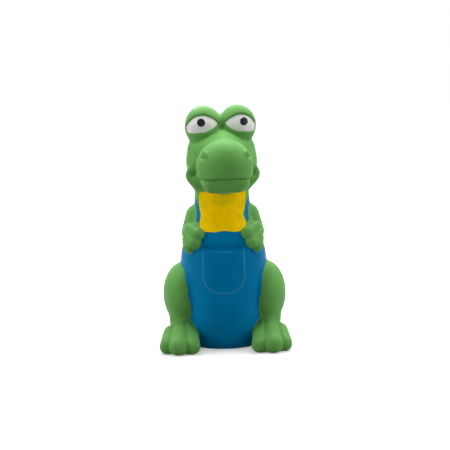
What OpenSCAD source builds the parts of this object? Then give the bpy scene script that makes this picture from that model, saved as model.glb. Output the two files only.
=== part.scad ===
// Squeaky latex toy: a seated crocodile in bib overalls.
// One hollow latex moulding carries the painted coats. It is stuffed with fibre
// wadding round a bellows squeaker, which stands on the patch that closes the base.
// Millimetres. +Z is up and the figure faces -Y. The origin is on the floor, at the
// middle of the figure's width and depth.

/* [Trunk] */
// Height of the neck's narrowest part above the floor
trunk_h = 105; // [88:1:126]
// Width of the belly
belly_w = 58; // [50:0.5:70]
// Depth of the belly, front to back
belly_d = 61; // [52:0.5:74]
// Width of the neck
neck_w = 37.4; // [31:0.2:44]

/* [Head] */
// Height of the crown above the neck's narrowest part
head_h = 60; // [52:0.5:72]
// Width of the head over the cheeks
head_w = 49.2; // [42:0.2:58]
// Reach of the snout's tip from the trunk's axis
snout_reach = 48.5; // [42:0.5:57]
// Width of the nose bulb
nose_w = 37.4; // [31:0.2:42]
// Height of the muzzle from chin to top
muzzle_h = 36.4; // [31:0.2:41]
// Height of the mouth line above the neck's narrowest part
mouth_h = 13; // [11:0.2:15]
// Turn of the head to the side, in degrees
head_turn = 5; // [-8:0.5:8]

/* [Eyes] */
// Radius of an eye lobe, from the side
eye_r = 12.7; // [11:0.1:15.6]
// Height of an eye lobe above its middle
lobe_h = 14; // [12:0.1:17]
// Distance between the middles of the eye lobes
eye_gap = 23.2; // [20:0.2:26]
// Thickness of the lids round the opening
lid_t = 0.9; // [0.5:0.1:1.4]
// Width of the opening between the lids
eye_open_w = 22; // [18:0.2:24]
// Height of the opening between the lids
eye_open_h = 12.4; // [9:0.2:14]
// Diameter of a pupil
pupil_d = 5; // [3.5:0.1:6.5]

/* [Arms] */
// Radius of the upper arm
arm_r = 7.6; // [6.4:0.1:9]
// Reach of the arm from the trunk's axis
arm_out = 28.4; // [25:0.1:31]
// Radius of a finger
finger_r = 4.2; // [3.6:0.1:4.8]

/* [Legs and tail] */
// Reach of a thigh from the trunk's axis
thigh_out = 42.2; // [37:0.2:47]
// Radius of the ankle
ankle_r = 9.5; // [8:0.1:11]
// Radius of the middle toe
toe_r = 6.2; // [5.2:0.1:6.8]
// Reach of the middle toe from the trunk's axis
toe_reach = 42.4; // [37:0.2:47]
// Reach of the tail from the trunk's axis
tail_reach = 48.5; // [42:0.5:57]
// Radius of the tail's tip
tail_tip_r = 5.5; // [4:0.1:7]

/* [Moulding] */
// Thickness of the latex wall
wall = 2.2; // [1.6:0.1:2.8]
// Thickness of the latex under the stuffing
floor_t = 3.2; // [2.6:0.1:4]
// Diameter of the hole that the stuffing goes in by
stuffing_hole_d = 23; // [19:0.5:25]
// Thickness of a coat of paint
coat_t = 0.3; // [0.2:0.05:0.4]
// Height of the bib's edge above the floor
bib_z = 80.4; // [75:0.2:86]
// Height of the overalls' edge at the back
back_z = 74; // [66:0.2:82]
// Width of the shirt where it meets the neck
shirt_w = 31; // [26:0.2:34]
// Width of the moulded pocket
pocket_w = 28; // [22:0.2:34]
// Height of the moulded pocket
pocket_h = 30.4; // [22:0.2:34]
// Height of the pocket's upper edge above the floor
pocket_z = 69.3; // [62:0.1:74]
// Stand of the pocket above the bib
pocket_t = 0.5; // [0.3:0.05:0.8]

/* [Base patch] */
// Diameter of the patch
patch_d = 29; // [27:0.5:31]
// Thickness of the patch
patch_t = 1.4; // [1:0.1:1.8]
// Diameter of the sound hole
vent_d = 4; // [3:0.5:6]

/* [Squeaker] */
// Diameter of the bulb over its folds
bulb_d = 29; // [24:0.5:31]
// Diameter of the bulb at the roots of its folds
bulb_root_d = 22; // [18:0.5:23]
// Height of one fold of the bellows
fold_h = 6.6; // [5.5:0.1:7.5]
// Number of folds
fold_count = 3; // [2:1:4]
// Thickness of the bulb's wall
bulb_t = 0.8; // [0.6:0.1:1]
// Outer diameter of the reed sleeve
sleeve_d = 8.4; // [7:0.1:9.4]
// Thickness of the reed sleeve's wall
sleeve_t = 0.8; // [0.6:0.1:1]
// Length of the reed sleeve
sleeve_l = 14; // [13:0.5:17]
// Free length of the reed
reed_l = 7.6; // [6:0.2:8.6]
// Width of the reed
reed_w = 3.6; // [3:0.1:4]
// Thickness of the reed
reed_t = 0.2; // [0.15:0.05:0.25]
// Opening between the reed's tip and its seat
reed_gap = 0.5; // [0.4:0.05:0.7]

/* [Hidden] */

LEFT = -1;   // the side at -X
RIGHT = 1;   // the side at +X
BIG = 200;   // past any part of the figure
BALL_SIDES = 16;   // sides of a ball's widest ring
SMALL_SIDES = 12;   // the same for a ball under SMALL_R
SMALL_R = 7;
HOLLOW_SIDES = 8;   // the same for the balls of the hollow inside, which is plainer
RING_SIDES = 22;   // points round the trunk
HOLLOW_RING_SIDES = 12;   // points round the trunk's hollow
STEPS = 2;   // rings from one station of the trunk to the next

stuffing_gap = 0.3;   // between the wadding and whatever it lies against
coat_gap = 0.02;   // between an eye's layers
press_gap = 0.05;   // between the squeaker's pieces where one is pushed into another
seat_z = patch_t;   // the height at which the squeaker stands

// Greens, blues and the rest, as the coats are painted
green = [0.36, 0.62, 0.29];
blue = [0.0, 0.38, 0.58];
yellow = [0.88, 0.72, 0.0];

// ---- forms, each grown by g over the moulding's own outside

function sides(r, g) = g < -lip ? HOLLOW_SIDES : r < SMALL_R ? SMALL_SIDES : BALL_SIDES;

// A ball, the unit of most modelled swellings
module ball(place, r, g = 0) {
    translate(place) sphere(r = r + g, $fn = sides(r, g));
}

// A ball with a radius of its own each way
module egg(place, radii, g = 0) {
    translate(place) scale(radii + [g, g, g]) sphere(r = 1, $fn = sides(max(radii), g));
}

// The tight skin over a list of [place, radius]
module over(balls, g = 0) {
    hull() for (b = balls) ball(b[0], b[1], g);
}

// The skin over each two neighbours of such a list, for a limb
module limb(balls, g = 0) {
    for (i = [1:len(balls) - 1]) over([balls[i - 1], balls[i]], g);
}

// The same thing on both sides of the figure
module both_sides() {
    for (side = [LEFT, RIGHT]) scale([side, 1, 1]) children();
}

// The trunk's stations: share of its height, shares of the belly's half width and of
// the neck's, then the front's and the back's share of the belly's half depth
stations = [
    [0, 0.84, 0, 0.74, 0.66], [0.035, 0.89, 0, 0.81, 0.75], [0.19, 0.92, 0, 0.95, 0.92],
    [0.38, 0.965, 0, 1.02, 0.98], [0.55, 1, 0, 1, 0.92], [0.69, 0.9, 0.03, 0.89, 0.82],
    [0.8, 0.55, 0.35, 0.77, 0.72], [0.905, 0.16, 0.78, 0.66, 0.64], [1, 0, 1, 0.59, 0.6],
    [1.1, 0, 1, 0.59, 0.6]
];

// A value between b and c of four neighbours, on a smooth curve through them
function between(a, b, c, d, t) =
    b + 0.5 * t * (c - a + t * (2 * a - 5 * b + 4 * c - d + t * (3 * (b - c) + d - a)));

function station(i) = stations[max(0, min(len(stations) - 1, i))];

// The stations with further ones worked out between them, steps from each to the next
function rows(steps) = [
    for (i = [0:len(stations) - 2], k = [0:steps - 1])
        between(station(i - 1), station(i), station(i + 1), station(i + 2), k / steps),
    station(len(stations) - 1)
];

// One ring of the trunk, grown by g: an oval with its own front and back
function ring(row, g, points) =
    let (
        half_w = row[1] * belly_w / 2 + row[2] * neck_w / 2 + g,
        front = row[3] * belly_d / 2 + g,
        back = row[4] * belly_d / 2 + g
    )
    [for (i = [0:points - 1])
        let (a = 360 * (i + 0.5) / points)
        [half_w * cos(a), (sin(a) < 0 ? front : back) * sin(a), row[0] * trunk_h]];

// A closed solid through a list of rings that have equally many points
module loft(rings) {
    n = len(rings[0]);
    last = (len(rings) - 1) * n;
    sides = [
        for (r = [0:len(rings) - 2], i = [0:n - 1])
            let (a = r * n + i, b = r * n + (i + 1) % n)
            each [[a, b + n, b], [a, a + n, b + n]]
    ];
    polyhedron(
        points = [for (r = rings) each r],
        faces = concat(sides, [[for (i = [0:n - 1]) i]], [[for (i = [n - 1:-1:0]) last + i]])
    );
}

module trunk(g = 0) {
    loft([for (row = rows(STEPS)) ring(row, g, RING_SIDES)]);
}

module trunk_hollow(g) {
    loft([for (row = rows(1)) ring(row, g, HOLLOW_RING_SIDES)]);
}

// ---- the head, worked out from the neck's height

crown_z = trunk_h + head_h;
eye_z = crown_z - lobe_h;
mouth_z = trunk_h + mouth_h;
cheek_r = 7.2;
cheek = [head_w / 2 - cheek_r, -12.5, mouth_z + 0.4];
eye_centre = [eye_gap / 2, -4, eye_z];
eyeball_r = eye_r - lid_t;
muzzle = [nose_w / 2, 18, muzzle_h / 2];
muzzle_centre = [0, muzzle[1] - snout_reach, mouth_z + 7.3];
lip = 0.6;   // stand of the upper lip over the lower one
jaw_y = 11.2 - snout_reach;
jaw_z = mouth_z - 1.8;

// The head's own forms, turned with it about the neck
module turned() {
    rotate([0, 0, head_turn]) children();
}

module skull(g = 0) {
    brow_x = head_w / 2 - 11.6;
    side_x = head_w / 2 - 10.9;
    over([
        [[0, -7, eye_z - 8], 7],
        [[brow_x, -5, eye_z - 15.5], 10], [[-brow_x, -5, eye_z - 15.5], 10],
        [[side_x, -6.5, mouth_z + 9], 10.8], [[-side_x, -6.5, mouth_z + 9], 10.8],
        [[0, 6, eye_z - 19], 17], [[0, 5, mouth_z - 2], 15]
    ], g);
    both_sides() over([[cheek, cheek_r], [cheek - [3, -4.5, 7], cheek_r - 1.4]], g);
}

// The raised bridge from between the eyes down to the muzzle
module bridge(g = 0) {
    over([
        [[0, -12, eye_z - 6.4], 5],
        [[6.5, -17, mouth_z + 16], 7.6], [[-6.5, -17, mouth_z + 16], 7.6],
        [[13, -14, mouth_z + 8], 8.4], [[-13, -14, mouth_z + 8], 8.4],
        [[0, -32, mouth_z + 14], 9]
    ], g);
}

// The upper snout and the jaw: one rounded form, stepped in below the mouth line
module snout(g = 0) {
    intersection() {
        egg(muzzle_centre, muzzle, g);
        translate([-BIG / 2, -BIG / 2, mouth_z]) cube(BIG);
    }
    intersection() {
        union() {
            egg(muzzle_centre, muzzle, g - lip);
            over([
                [[9, -12, jaw_z], 8], [[-9, -12, jaw_z], 8],
                [[8.6, jaw_y, jaw_z], 7.8], [[-8.6, jaw_y, jaw_z], 7.8],
                [[0, jaw_y + 0.4, jaw_z - 0.4], 7.8]
            ], g);
        }
        translate([-BIG / 2, -BIG / 2, mouth_z + g - BIG]) cube(BIG);
    }
}

// Soft rims round the nostrils, on the upper corners of the muzzle
module nostrils() {
    both_sides() difference() {
        ball([nose_w / 2 - 6.6, 8.4 - snout_reach, mouth_z + 15.6], 3.6);
        ball([nose_w / 2 - 4, 5.6 - snout_reach, mouth_z + 14.4], 1.8);
    }
}

// The middle of the circle through three points, then its radius
function circle_through(a, b, c) =
    let (
        ab = b - a, ac = c - a,
        n = 2 * (ab[0] * ac[1] - ab[1] * ac[0]),
        x = (ac[1] * (ab * ab) - ab[1] * (ac * ac)) / n,
        y = (ab[0] * (ac * ac) - ac[0] * (ab * ab)) / n
    )
    [a[0] + x, a[1] + y, norm([x, y])];

// The right eye's opening is what three circles share: the upper lid and the lower one,
// which meet in a point by the nose, and a blunt end outside, where the lids droop
lids = let (
        w = eye_open_w / 2, h = eye_open_h / 2,
        nose_corner = [-w, 0], outer_high = [w + 0.2, -0.39 * h], outer_low = [w + 0.2, -1.06 * h]
    )
    [
        circle_through(nose_corner, [0.5, h], outer_high),
        circle_through(nose_corner, [0, -h], outer_low),
        [-0.8, -h / 3, w + 1]
    ];

// Space in front of the right eye that the lids leave open, less inset all round
module eye_opening(inset = 0) {
    depth = BIG / 2 - 6;
    translate([eye_centre[0] + 0.6, -BIG / 2, eye_z + 2]) intersection_for(lid = lids)
        translate([lid[0], 0, lid[1]]) rotate([-90, 0, 0])
            cylinder(r = lid[2] - inset, h = depth, $fn = 64);
}

// Two lobes over the eyes and the saddle between them, open in front of the eyeballs
module eye_lobes() {
    saddle_x = eye_centre[0] - 4.6;
    difference() {
        union() {
            both_sides() egg(eye_centre, [eye_r, eye_r, lobe_h]);
            over([for (side = [LEFT, RIGHT]) [[side * saddle_x, -4.5, eye_z + 1.2], 7.6]]);
        }
        both_sides() eye_opening();
    }
    both_sides() ball(eye_centre, eyeball_r);
}

module head(g = 0) {
    skull(g);
    bridge(g);
    snout(g);
}

// ---- the limbs, right side first

shoulder_z = trunk_h - 16;
hand_z = bib_z - 7.4;
crease = 0.9;   // depth of the creases between fingers and between toes

module arm(g = 0) {
    limb([
        [[arm_out - 10.2, 1, shoulder_z], arm_r + 0.4],
        [[arm_out - arm_r, -3, hand_z + 7], arm_r],
        [[arm_out - arm_r, -12, hand_z + 3.6], arm_r - 0.4]
    ], g);
}

// Three stacked fingers that lie on the bib, each from its knuckle to its tip
module hand() {
    tips = [[16.4, -21.6, hand_z + 6.2], [18.2, -22.4, hand_z - 0.2], [22.4, -18.8, hand_z - 2.9]];
    knuckles = [[21.6, -12.4, hand_z + 7.6], [23.4, -12.6, hand_z + 3.2], [24.2, -11, hand_z + 1.4]];
    for (i = [0:len(tips) - 1])
        over([[knuckles[i], finger_r], [tips[i], finger_r]]);
    over([each [for (tip = tips) [tip, finger_r - crease]], [[20.6, -13, hand_z + 3.4], 7]]);
}

module thigh(g = 0) {
    half_w = 14.5;
    egg([thigh_out - half_w, 0, 35], [half_w, 20, 22], g);
    limb([[[thigh_out - half_w, -5, 22], 11], [[thigh_out - 14, -6, 13], ankle_r]], g);
}

// Three toes that spread from the ankle, the middle one furthest forward. Each is given
// by its place across, how far it stays back and how much thinner it is.
module foot() {
    toes = [
        for (toe = [[21.8, 2.4, 0.1], [32, 0, 0], [39.6, 6, 0.9]])
            let (tip_r = toe_r - toe[2])
            [[toe[0], tip_r + toe[1] - toe_reach, tip_r - 0.6], tip_r]
    ];
    for (toe = toes)
        over([[[29 + 0.7 * (toe[0][0] - 30.4), -19, 10.8], toe[1] + 0.6], toe]);
    over([each [for (toe = toes) [toe[0], toe[1] - crease]], [[29, -15, 12], ankle_r]]);
}

module tail(g = 0) {
    limb([
        [[0, 19, 13], 13.4], [[0, tail_reach - 15, 9.4], 10],
        [[0, tail_reach - tail_tip_r, tail_tip_r - 0.5], tail_tip_r]
    ], g);
}

module pocket(g = 0) {
    round_r = pocket_w / 2 - 1.5;
    intersection() {
        trunk(pocket_t + g);
        translate([0, -BIG / 4, 0]) rotate([90, 0, 0]) linear_extrude(BIG / 4, center = true)
            offset(delta = g) hull() {
                translate([-pocket_w / 2, pocket_z - 8]) square([pocket_w, 8]);
                for (x = [round_r - pocket_w / 2, pocket_w / 2 - round_r])
                    translate([x, pocket_z - pocket_h + round_r]) circle(r = round_r, $fn = 32);
            }
    }
}

// Everything of the figure that the moulding's outside shows
module outside() {
    intersection() {
        union() {
            trunk();
            pocket();
            turned() {
                head();
                nostrils();
                eye_lobes();
            }
            both_sides() {
                arm();
                hand();
                thigh();
                foot();
            }
            tail();
        }
        translate([-BIG / 2, -BIG / 2, 0]) cube(BIG);
    }
}

// The hollow of the moulding, g smaller all round. Fingers, toes and lids are solid.
module hollow(g = 0) {
    inset = -wall - g;
    difference() {
        union() {
            trunk_hollow(inset);
            turned() {
                skull(inset);
                bridge(inset);
                egg(muzzle_centre, muzzle, inset);
                both_sides() over([[eye_centre, eyeball_r], [[5, 0, eye_z - 18], 10]], inset);
            }
            both_sides() thigh(inset);
            tail(inset);
        }
        translate([-BIG / 2, -BIG / 2, floor_t + g - BIG]) cube(BIG);
    }
}

module skin() {
    color(green) difference() {
        outside();
        hollow();
        translate([0, 0, -1]) cylinder(d = stuffing_hole_d, h = floor_t + 2, $fn = 48);
        translate([0, 0, -1]) cylinder(d = patch_d + 2 * press_gap, h = patch_t + 1, $fn = 64);
    }
}

// ---- the painted coats, each a thin layer on the moulding's outside

// Space that the overalls cover: up to the bib in front and the back panel behind,
// with an edge that dips under the arms
module overalls_zone() {
    side_z = bib_z - 13;
    translate([-BIG / 2, 0, 0]) rotate([90, 0, 90]) linear_extrude(BIG)
        polygon([
            [-BIG / 2, coat_t], [-BIG / 2, bib_z], [-17, bib_z], [-9, side_z],
            [8, side_z], [16, back_z], [BIG / 2, back_z], [BIG / 2, coat_t]
        ]);
}

// One strap, from its rounded end beside the shirt over the shoulder to the back panel
strap_r = 2.1;
strap_route = [
    [16.6, -13.6, bib_z + 9], [17.1, -9.5, 0.915 * trunk_h], [neck_w / 2, -2, 0.955 * trunk_h],
    [neck_w / 2 - 1, 7, 0.955 * trunk_h], [13.4, 14.5, 0.905 * trunk_h],
    [10.5, 20, 0.81 * trunk_h], [9.5, 23.5, back_z]
];

module strap_zone() {
    both_sides() limb([for (place = strap_route) [place, strap_r]]);
}

module overalls_coat() {
    color(blue) difference() {
        intersection() {
            union() {
                trunk(coat_t);
                pocket(coat_t);
            }
            union() {
                overalls_zone();
                strap_zone();
            }
        }
        outside();
    }
}

module shirt_coat() {
    low = bib_z + 0.2;
    high = trunk_h + 2;
    color(yellow) difference() {
        trunk(coat_t);
        translate([-BIG / 2, -BIG / 2, low - BIG]) cube(BIG);
        translate([-BIG / 2, -BIG / 2, high]) cube(BIG);
        translate([-BIG / 2, 0, 0]) cube(BIG);
        both_sides() translate([shirt_w / 2, -BIG / 2, 0]) cube(BIG);
        strap_zone();
        outside();
    }
}

// The white of one eye, a layer on the ball of the eye between the lids
module eye_white(side) {
    color("white") turned() scale([side, 1, 1]) intersection() {
        translate(eye_centre) difference() {
            sphere(r = eyeball_r + coat_t, $fn = 96);
            sphere(r = eyeball_r + coat_gap, $fn = 96);
        }
        eye_opening(5 * coat_gap);
    }
}

// A pupil, a round layer on the white, looking ahead and a little outwards
module pupil(side) {
    color([0.05, 0.06, 0.08]) turned() scale([side, 1, 1]) intersection() {
        translate(eye_centre) difference() {
            sphere(r = eyeball_r + 2 * coat_t, $fn = 64);
            sphere(r = eyeball_r + coat_t + coat_gap, $fn = 64);
        }
        translate(eye_centre + [2.7, 0, 3.5]) rotate([90, 0, 0])
            cylinder(d = pupil_d, h = 2 * eye_r, $fn = 32);
    }
}

// ---- the closing patch and the stuffing

module base_patch() {
    color([0.33, 0.58, 0.27]) difference() {
        cylinder(d = patch_d, h = patch_t, $fn = 64);
        translate([0, 0, -1]) cylinder(d = vent_d, h = patch_t + 2, $fn = 32);
    }
}

neck_top_z = seat_z + sleeve_l - 1;
bellows_z = neck_top_z + bulb_t;
crown_low_z = bellows_z + fold_count * fold_h;
crown_h = 9;
bulb_top_z = crown_low_z + crown_h;

module filling() {
    color("ivory") difference() {
        hollow(stuffing_gap);
        translate([0, 0, -1])
            cylinder(d = bulb_d + 2 * stuffing_gap, h = bulb_top_z + stuffing_gap + 1, $fn = 48);
    }
}

// ---- the squeaker's bulb: a soft blown bellows with its neck down

// A wall of thickness t that follows a list of [radius, height], as a revolve
module blown_wall(path, t) {
    rotate_extrude($fn = 64) polygon(concat(
        path,
        [for (i = [len(path) - 1:-1:0]) [max(0, path[i][0] - t), path[i][1]]]
    ));
}

module bulb_bellows() {
    root = bulb_root_d / 2;
    color("gainsboro") blown_wall([
        for (i = [0:2 * fold_count]) [i % 2 == 0 ? root : bulb_d / 2, bellows_z + i * fold_h / 2]
    ], bulb_t);
}

// The closed end, which the wadding pushes down
module bulb_crown() {
    root = bulb_root_d / 2;
    dome_r = bulb_d / 2 - 1;
    arc = [for (a = [0:9:90]) [dome_r * cos(a), crown_low_z + 3 + (crown_h - 3) * sin(a)]];
    inner = [for (a = [90:-9:0])
        [(dome_r - bulb_t) * cos(a), crown_low_z + 3 + (crown_h - 3 - bulb_t) * sin(a)]];
    color("gainsboro") rotate_extrude($fn = 64) polygon(concat(
        [[root - bulb_t, crown_low_z], [root, crown_low_z]], arc, inner
    ));
}

// The open end: a shoulder, and the neck that grips the sleeve and stands on the patch
module bulb_neck() {
    bore = sleeve_d / 2 + press_gap;
    grip = bore + 1.1;
    root = bulb_root_d / 2;
    color("gainsboro") rotate_extrude($fn = 64) polygon([
        [bore, seat_z], [root - 1.5, seat_z], [root - 1.5, seat_z + 1.2], [grip, seat_z + 2],
        [grip, neck_top_z - 2.4], [root, neck_top_z], [root, bellows_z],
        [root - bulb_t, bellows_z], [grip, neck_top_z - 1.2], [bore, neck_top_z - 1.2]
    ]);
}

// ---- the reed in its sleeve. The sleeve is open at both ends.

sleeve_low_z = seat_z + 0.2;
bore_r = sleeve_d / 2 - sleeve_t;
reed_root_z = sleeve_low_z + 4;
seat_r = bore_r - press_gap;
seat_face_x = 0.4;   // the flat that the reed is clamped on
lay = atan(reed_gap / reed_l);   // slope of the seat away from the reed
clamp_gap = 0.12;   // room for the reed's clamped end to turn in

module reed_sleeve() {
    color("ivory") translate([0, 0, sleeve_low_z]) difference() {
        cylinder(r = sleeve_d / 2, h = sleeve_l, $fn = 64);
        translate([0, 0, -1]) cylinder(r = bore_r, h = sleeve_l + 2, $fn = 64);
    }
}

// A half-round trough, closed at the top, that the reed beats on
module reed_seat() {
    seat_l = reed_root_z - sleeve_low_z + reed_l + 1;
    channel_w = reed_w - 1.4;
    color("silver") difference() {
        translate([0, 0, sleeve_low_z]) cylinder(r = seat_r, h = seat_l, $fn = 64);
        translate([seat_face_x, -BIG / 2, 0]) cube(BIG);
        translate([seat_face_x, 0, reed_root_z]) rotate([0, -lay, 0])
            translate([0, -BIG / 2, 0]) cube(BIG);
        translate([-1.5, -channel_w / 2, 0]) cube([BIG, channel_w, reed_root_z + reed_l - 1.4]);
    }
}

// The half-round wedge that clamps the reed's end against the seat
module reed_wedge() {
    color("silver") intersection() {
        translate([0, 0, sleeve_low_z]) cylinder(r = seat_r, h = reed_root_z - sleeve_low_z, $fn = 64);
        translate([seat_face_x + reed_t + 2 * clamp_gap, -BIG / 2, 0]) cube(BIG);
    }
}

module reed_tongue() {
    held = 1.8;
    color("goldenrod") translate([seat_face_x + clamp_gap, -reed_w / 2, reed_root_z - held])
        cube([reed_t, reed_w, held + reed_l]);
}

skin();
overalls_coat();
shirt_coat();
eye_white(LEFT);  // eye_white_left
eye_white(RIGHT);  // eye_white_right
pupil(LEFT);  // pupil_left
pupil(RIGHT);  // pupil_right
base_patch();
filling();
bulb_crown();
bulb_bellows();
bulb_neck();
reed_sleeve();
reed_seat();
reed_wedge();
reed_tongue();
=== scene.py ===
"""The looks of a squeaky latex toy: a seated crocodile in bib overalls.

The skin is modelled as one moulding from rolls, balls and a trunk of rings, grown together by a
voxel remesh, and then creased, lidded and dimpled. The coats of paint are cut out of that skin
along their brushed edges, and only then is it cut off at the floor and hollowed. Lengths are
millimetres until finish_piece, and metres in the properties and on the stage.
"""

import math
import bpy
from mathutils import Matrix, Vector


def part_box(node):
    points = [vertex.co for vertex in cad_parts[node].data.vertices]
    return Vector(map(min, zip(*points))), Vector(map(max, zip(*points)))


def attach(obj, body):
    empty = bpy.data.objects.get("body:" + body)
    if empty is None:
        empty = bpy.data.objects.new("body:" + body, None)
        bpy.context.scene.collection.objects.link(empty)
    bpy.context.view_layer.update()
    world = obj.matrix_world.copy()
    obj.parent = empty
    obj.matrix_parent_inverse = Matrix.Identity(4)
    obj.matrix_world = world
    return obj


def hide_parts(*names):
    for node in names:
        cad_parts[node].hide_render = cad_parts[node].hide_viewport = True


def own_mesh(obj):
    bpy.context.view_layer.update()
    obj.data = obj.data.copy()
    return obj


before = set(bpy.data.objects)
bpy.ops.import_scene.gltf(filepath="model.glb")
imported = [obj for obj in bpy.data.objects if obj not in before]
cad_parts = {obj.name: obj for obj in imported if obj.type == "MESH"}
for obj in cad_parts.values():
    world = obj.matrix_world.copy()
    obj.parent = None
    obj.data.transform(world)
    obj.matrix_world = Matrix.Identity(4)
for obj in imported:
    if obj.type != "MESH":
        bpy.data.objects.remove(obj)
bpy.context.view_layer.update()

from types import SimpleNamespace

import bmesh
import bpy
import numpy as np
from bpy.props import FloatProperty, FloatVectorProperty, PointerProperty
from mathutils import Matrix, Vector

bl_info = {
    "name": "Squeaky latex crocodile",
    "version": (1, 0, 0),
    "blender": (4, 5, 0),
    "location": "View3D > Sidebar > Latex toy",
    "description": "Models a stuffed latex toy with painted overalls round its squeaker",
    "category": "Object",
}

MM = 0.001
SIDES = (-1, 1)

TOY = "toy"
SOFT_PIECES = ("Latex_skin", "Overalls_coat", "Shirt_coat", "Eye_white_left", "Eye_white_right",
               "Pupil_left", "Pupil_right", "Wadding")

CAVITY_FLOOR = 3.2     # from the floor to the hollow
STUFFING_HOLE = 23     # across
PATCH_RECESS = 29.1    # across
PATCH_T = 1.4
UNDER_FLOOR = 1.2      # how far the trunk reaches below the floor until it is cut off there
COAT_SUNK = 0.05       # how deep a coat lies in the skin, so that no gap shows
# how far inside an eye lobe's radius the eyeball, the white and the pupil have their faces
EYEBALL_IN, WHITE_IN, PUPIL_IN = 1.15, 0.9, 0.78
WHITE_T, PUPIL_T = 0.5, 0.25

AIM = (0.0016, 0.0, 0.0820)
VIEW_WIDTH = 0.3104    # across the frame at the toy
AIR = 0.04             # strength of the light from all round
LIT_PLACE = (0, 0, 0.08)
LAMPS = (
    # name, place, width, height, watts
    ("Top", (0, 0.15, 0.45), 0.5, 0.5, 4.0),
    ("Left", (-1.1, -0.3, 0.55), 0.8, 0.8, 7.6),
    ("Right", (1.1, -0.3, 0.55), 0.8, 0.8, 7.6),
    ("Front", (0, -1.3, 0.2), 1.0, 0.6, 2.4),
)


# ---- sizes and colours that a user would change

def length(name, description, default, low, high):
    return FloatProperty(name=name, description=description, default=default * MM,
                         min=low * MM, max=high * MM, unit="LENGTH", precision=4)


def colour(name, description, default):
    return FloatVectorProperty(name=name, description=description, default=default,
                               subtype="COLOR", size=3, min=0.0, max=1.0)


class ToySizes(bpy.types.PropertyGroup):
    """Sizes of the moulding"""
    trunk_h: length("Trunk height", "From the floor to the neck's narrowest part", 105, 88, 126)
    belly_w: length("Belly width", "Width of the trunk at the belly", 58, 50, 70)
    belly_d: length("Belly depth", "Depth of the trunk at the belly", 61, 52, 74)
    neck_w: length("Neck width", "Width of the neck", 37.4, 31, 44)
    head_h: length("Head height", "From the neck's narrowest part to the crown", 59.8, 50, 72)
    head_w: length("Head width", "Width of the head over the cheeks", 49.2, 42, 58)
    snout_reach: length("Snout reach", "From the trunk's axis to the snout's tip", 48.2, 42, 57)
    nose_w: length("Nose width", "Width of the muzzle", 37.6, 31, 42)
    muzzle_h: length("Muzzle height", "From the chin to the muzzle's top", 35, 30, 40)
    mouth_h: length("Mouth height", "From the neck's narrowest part to the mouth line", 13, 10, 15)
    head_turn: FloatProperty(name="Head turn", description="Turn of the head from straight ahead",
                             default=math.radians(5), subtype="ANGLE")
    eye_r: length("Eye lobe", "Radius of an eye lobe, from the side", 12.7, 10.8, 15.6)
    lobe_h: length("Eye lobe height", "From the eye's middle to the lobe's top", 14, 12, 17)
    eye_gap: length("Eye spacing", "Between the middles of the eye lobes", 23.2, 20, 26)
    eye_open_w: length("Eye opening width", "Width of the opening between the lids", 22, 18, 24)
    eye_open_h: length("Eye opening height", "Height of the opening between the lids", 12.4, 9, 14)
    pupil_d: length("Pupil", "Diameter of a pupil", 5.4, 3.5, 6.5)
    arm_r: length("Arm", "Radius of the upper arm", 7.6, 6.4, 9)
    arm_out: length("Arm reach", "From the trunk's axis to the arm's outside", 28.6, 25, 31)
    finger_r: length("Finger", "Radius of a finger", 4.2, 3.6, 4.8)
    thigh_out: length("Thigh reach", "From the trunk's axis to the thigh's outside", 42.6, 37, 47)
    ankle_r: length("Ankle", "Radius of the ankle", 9.5, 8, 11)
    toe_r: length("Toe", "Radius of the middle toe", 6.2, 5.2, 6.8)
    toe_reach: length("Toe reach", "From the trunk's axis to the middle toe's tip", 42.4, 37, 47)
    tail_reach: length("Tail reach", "From the trunk's axis to the tail's tip", 48.5, 42, 57)
    wall: length("Wall", "Thickness of the latex", 2.2, 1.6, 2.8)
    coat_t: length("Paint", "Thickness of a coat of paint", 0.14, 0.08, 0.3)
    bib_z: length("Bib height", "From the floor to the bib's edge", 80.4, 74, 86)
    back_z: length("Back height", "From the floor to the back panel's edge", 74, 66, 82)
    pocket_w: length("Pocket width", "Width of the moulded pocket", 27.4, 22, 34)
    pocket_h: length("Pocket height", "Height of the moulded pocket", 30.4, 22, 34)
    pocket_z: length("Pocket top", "From the floor to the pocket's upper edge", 70.3, 62, 74)


class ToyColours(bpy.types.PropertyGroup):
    """Colours of the latex and its coats"""
    latex: colour("Latex", "Green of the dyed latex", (0.116, 0.330, 0.072))
    overalls: colour("Overalls", "Blue of the overalls", (0.0, 0.178, 0.39))
    shirt: colour("Shirt", "Yellow of the shirt", (1.0, 0.63, 0.0))
    white: colour("Eye white", "White of the eyes", (0.78, 0.77, 0.75))
    pupil: colour("Pupil", "Black of the pupils", (0.004, 0.006, 0.010))


class ToyStage(bpy.types.PropertyGroup):
    """Where the camera stands"""
    azimuth: FloatProperty(name="Azimuth", description="Turn of the camera round the toy",
                           default=0.0, subtype="ANGLE")
    elevation: FloatProperty(name="Elevation", description="Height of the camera over level",
                             default=math.radians(8), subtype="ANGLE")
    roll: FloatProperty(name="Roll", description="Turn of the camera about its own axis",
                        default=math.radians(1.6), subtype="ANGLE")
    distance: FloatProperty(name="Distance", description="From the camera to the toy",
                            default=0.9, unit="LENGTH")


def sizes():
    """The sizes in millimetres, and what follows from them."""
    group = bpy.context.scene.toy_sizes
    s = SimpleNamespace(**{key: getattr(group, key) / MM for key in ToySizes.__annotations__})
    s.head_turn = group.head_turn
    s.eye_z = s.trunk_h + s.head_h - s.lobe_h
    s.mouth_z = s.trunk_h + s.mouth_h
    s.muzzle = np.array((s.nose_w / 2 + 0.2, 18, s.muzzle_h / 2 + 0.9))
    s.muzzle_at = np.array((0, s.muzzle[1] - s.snout_reach, s.mouth_z + 7.1))
    s.eye_at = np.array((s.eye_gap / 2, -4, s.eye_z))
    s.shoulder_z = s.trunk_h - 16
    s.hand_z = s.bib_z - 7.4
    return s


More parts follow.
